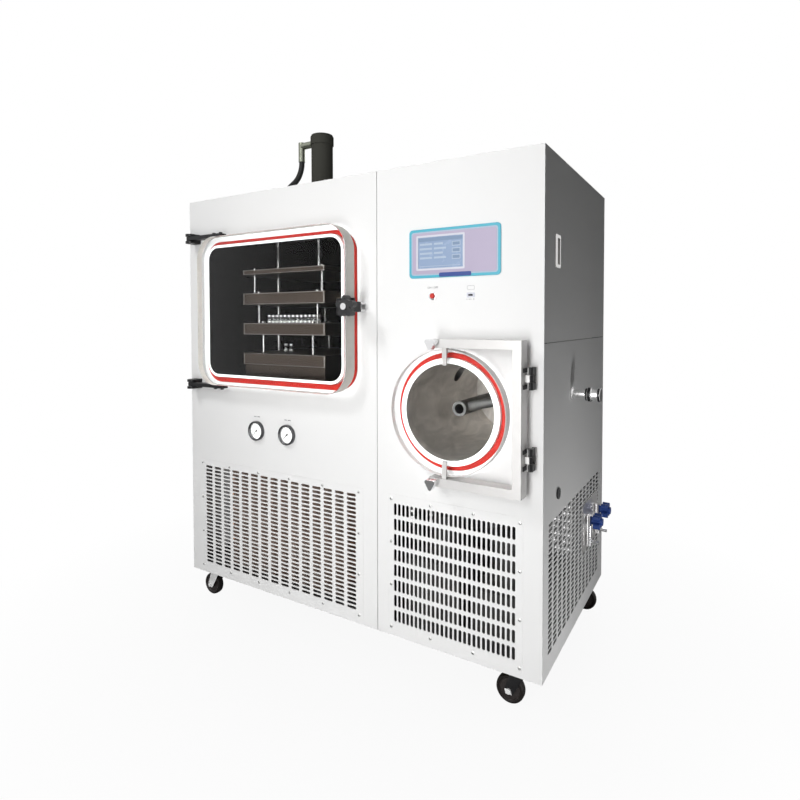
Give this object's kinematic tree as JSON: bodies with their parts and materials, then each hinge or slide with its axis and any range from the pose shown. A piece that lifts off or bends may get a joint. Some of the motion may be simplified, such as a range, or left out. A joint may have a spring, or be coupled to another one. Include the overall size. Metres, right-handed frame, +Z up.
{
  "type": "freeze dryer",
  "caption": "Floor-standing freeze dryer on casters: square drying chamber with hydraulic press shelves, round cold trap with a clamped clear door, vented lower bays, gauges and touch panel.",
  "frame": {"origin": "on the floor, under the middle of the box around the whole machine", "axes": "+X to the right along the front, +Y from the front to the back, +Z up"},
  "size_m": [1.345, 0.7854, 1.638],
  "materials": {
    "panel_paint": "satin powder coat",
    "frame_paint": "satin",
    "screw_steel": "polished",
    "pull_steel": "polished",
    "lock_black": "matte",
    "chamber_steel": "mirror to satin stainless steel",
    "shelf_steel": "satin stainless steel",
    "ram_steel": "ground",
    "gasket_red": "matte",
    "door_acrylic": "clear",
    "vial_glass": "clear",
    "black_metal": "satin",
    "knob_black": "satin",
    "bracket_steel": "satin",
    "clamp_chrome": "polished",
    "hose_black": "matte",
    "hose_cream": "satin",
    "coil_copper": "satin copper",
    "gauge_white": "satin",
    "needle_black": "matte",
    "panel_blue": "printed film",
    "button_red": "gloss",
    "unit_grey": "satin",
    "condenser_fins": "matte",
    "fan_black": "matte",
    "pump_blue": "satin",
    "tank_blue": "satin",
    "box_white": "satin",
    "valve_brass": "polished",
    "handle_blue": "gloss",
    "caster_steel": "satin",
    "caster_tyre": "matte"
  },
  "bodies": {
    "cabinet": {"cabinet_frame": "frame_paint", "left_front_panel": "panel_paint", "right_front_panel": "panel_paint", "left_vent_plate": "panel_paint", "right_vent_plate": "panel_paint", "left_side_panel": "panel_paint", "right_upper_panel": "panel_paint", "right_lower_panel": "panel_paint", "top_and_rear_panels": "panel_paint", "panel_screws": "screw_steel", "side_pull_handle": "pull_steel", "drying_chamber": "chamber_steel", "chamber_gasket": "gasket_red", "hydraulic_cylinder": "black_metal", "hydraulic_hose": "hose_black", "shelf_lower": "shelf_steel", "vials_lower": "vial_glass", "hinge_brackets": "black_metal", "clamp_sockets": "clamp_chrome", "trap_vessel": "chamber_steel", "trap_gasket": "gasket_red", "evaporator_coil": "coil_copper", "centre_tube": "chamber_steel", "vapour_duct": "chamber_steel", "pressure_gauges": "gauge_white", "operator_panel": "panel_blue", "refrigeration_unit": "unit_grey", "air_condenser": "condenser_fins", "vacuum_pump": "pump_blue", "oil_units": "tank_blue", "control_box": "box_white", "vacuum_port": "clamp_chrome", "drain_valves": "valve_brass"},
    "chamber_door": {"chamber_door": "door_acrylic", "door_fittings": "black_metal"},
    "star_knob": {"star_knob": "knob_black"},
    "trap_door": {"trap_door": "door_acrylic", "trap_door_bracket": "bracket_steel"},
    "trap_knob_upper": {"trap_knob_upper": "clamp_chrome"},
    "trap_knob_lower": {"trap_knob_lower": "clamp_chrome"},
    "press_ram": {"press_ram": "ram_steel"},
    "shelf_upper": {"shelf_upper": "shelf_steel", "shelf_hose": "hose_cream"},
    "shelf_middle": {"shelf_middle": "shelf_steel", "vials_middle": "vial_glass"},
    "gauge_needle_left": {"gauge_needle_left": "needle_black"},
    "gauge_needle_right": {"gauge_needle_right": "needle_black"},
    "power_button": {"power_button": "button_red"},
    "side_lock": {"side_lock": "lock_black"},
    "drain_handle_front": {"drain_handle_front": "handle_blue"},
    "drain_handle_rear": {"drain_handle_rear": "handle_blue"},
    "condenser_fan": {"condenser_fan": "fan_black"},
    "caster_fork_1": {"caster_fork_1": "caster_steel"},
    "caster_wheel_1": {"caster_wheel_1": "caster_tyre"},
    "caster_fork_2": {"caster_fork_2": "caster_steel"},
    "caster_wheel_2": {"caster_wheel_2": "caster_tyre"},
    "caster_fork_3": {"caster_fork_3": "caster_steel"},
    "caster_wheel_3": {"caster_wheel_3": "caster_tyre"},
    "caster_fork_4": {"caster_fork_4": "caster_steel"},
    "caster_wheel_4": {"caster_wheel_4": "caster_tyre"}
  },
  "joints": [
    {"name": "chamber_door_hinge", "type": "hinge", "parent": "cabinet", "child": "chamber_door", "pos_m": [-0.6325, -0.32735, 1.021], "axis": [0, 0, -1], "range_deg": [0, 110]},
    {"name": "star_knob_turn", "type": "hinge", "parent": "chamber_door", "child": "star_knob", "pos_m": [0.07, -0.35735, 1.027], "axis": [0, 1, 0], "continuous": true},
    {"name": "trap_door_hinge", "type": "hinge", "parent": "cabinet", "child": "trap_door", "pos_m": [0.5675, -0.32135, 0.753], "axis": [0, 0, 1], "range_deg": [0, 110]},
    {"name": "trap_knob_upper_turn", "type": "hinge", "parent": "trap_door", "child": "trap_knob_upper", "pos_m": [0.3275, -0.35735, 0.93], "axis": [0, 1, 0], "continuous": true},
    {"name": "trap_knob_lower_turn", "type": "hinge", "parent": "trap_door", "child": "trap_knob_lower", "pos_m": [0.3275, -0.35735, 0.576], "axis": [0, 1, 0], "continuous": true},
    {"name": "press_slide", "type": "slide", "parent": "cabinet", "child": "press_ram", "axis": [0, 0, -1], "range_m": [0, 0.072]},
    {"name": "shelf_upper_slide", "type": "slide", "parent": "cabinet", "child": "shelf_upper", "axis": [0, 0, -1], "range_m": [0, 0.048]},
    {"name": "shelf_middle_slide", "type": "slide", "parent": "cabinet", "child": "shelf_middle", "axis": [0, 0, -1], "range_m": [0, 0.024]},
    {"name": "gauge_needle_left_turn", "type": "hinge", "parent": "cabinet", "child": "gauge_needle_left", "pos_m": [-0.3515, -0.30285, 0.6305], "axis": [0, 1, 0], "range_deg": [0, 270], "stiffness_Nm_per_rad": 0.005},
    {"name": "gauge_needle_right_turn", "type": "hinge", "parent": "cabinet", "child": "gauge_needle_right", "pos_m": [-0.2195, -0.30285, 0.6305], "axis": [0, 1, 0], "range_deg": [0, 270], "stiffness_Nm_per_rad": 0.005},
    {"name": "power_button_press", "type": "slide", "parent": "cabinet", "child": "power_button", "axis": [0, 1, 0], "range_m": [0, 0.003], "stiffness_N_per_m": 800},
    {"name": "side_lock_turn", "type": "hinge", "parent": "cabinet", "child": "side_lock", "pos_m": [0.5825, -0.16935, 0.541], "axis": [1, 0, 0], "range_deg": [0, 90]},
    {"name": "drain_handle_front_turn", "type": "hinge", "parent": "cabinet", "child": "drain_handle_front", "pos_m": [0.6275, 0.14265, 0.377], "axis": [1, 0, 0], "range_deg": [0, 90]},
    {"name": "drain_handle_rear_turn", "type": "hinge", "parent": "cabinet", "child": "drain_handle_rear", "pos_m": [0.6275, 0.26265, 0.377], "axis": [1, 0, 0], "range_deg": [0, 90]},
    {"name": "condenser_fan_spin", "type": "hinge", "parent": "cabinet", "child": "condenser_fan", "pos_m": [-0.2725, -0.16535, 0.321], "axis": [0, 1, 0], "continuous": true},
    {"name": "caster_1_swivel", "type": "hinge", "parent": "cabinet", "child": "caster_fork_1", "pos_m": [-0.6025, -0.24235, 0.075], "axis": [0, 0, 1], "continuous": true},
    {"name": "caster_1_roll", "type": "hinge", "parent": "caster_fork_1", "child": "caster_wheel_1", "pos_m": [-0.6305, -0.24235, 0.0375], "axis": [0, 1, 0], "continuous": true},
    {"name": "caster_2_swivel", "type": "hinge", "parent": "cabinet", "child": "caster_fork_2", "pos_m": [0.5225, -0.24235, 0.075], "axis": [0, 0, 1], "continuous": true},
    {"name": "caster_2_roll", "type": "hinge", "parent": "caster_fork_2", "child": "caster_wheel_2", "pos_m": [0.4945, -0.24235, 0.0375], "axis": [0, 1, 0], "continuous": true},
    {"name": "caster_3_swivel", "type": "hinge", "parent": "cabinet", "child": "caster_fork_3", "pos_m": [-0.6025, 0.33765, 0.075], "axis": [0, 0, 1], "continuous": true},
    {"name": "caster_3_roll", "type": "hinge", "parent": "caster_fork_3", "child": "caster_wheel_3", "pos_m": [-0.5745, 0.33765, 0.0375], "axis": [0, 1, 0], "continuous": true},
    {"name": "caster_4_swivel", "type": "hinge", "parent": "cabinet", "child": "caster_fork_4", "pos_m": [0.5225, 0.33765, 0.075], "axis": [0, 0, 1], "continuous": true},
    {"name": "caster_4_roll", "type": "hinge", "parent": "caster_fork_4", "child": "caster_wheel_4", "pos_m": [0.5505, 0.33765, 0.0375], "axis": [0, 1, 0], "continuous": true}
  ],
  "couplings": [
    {"joint": "shelf_upper_slide", "follows": "press_slide", "ratio": 0.66667},
    {"joint": "shelf_middle_slide", "follows": "press_slide", "ratio": 0.33333}
  ]
}
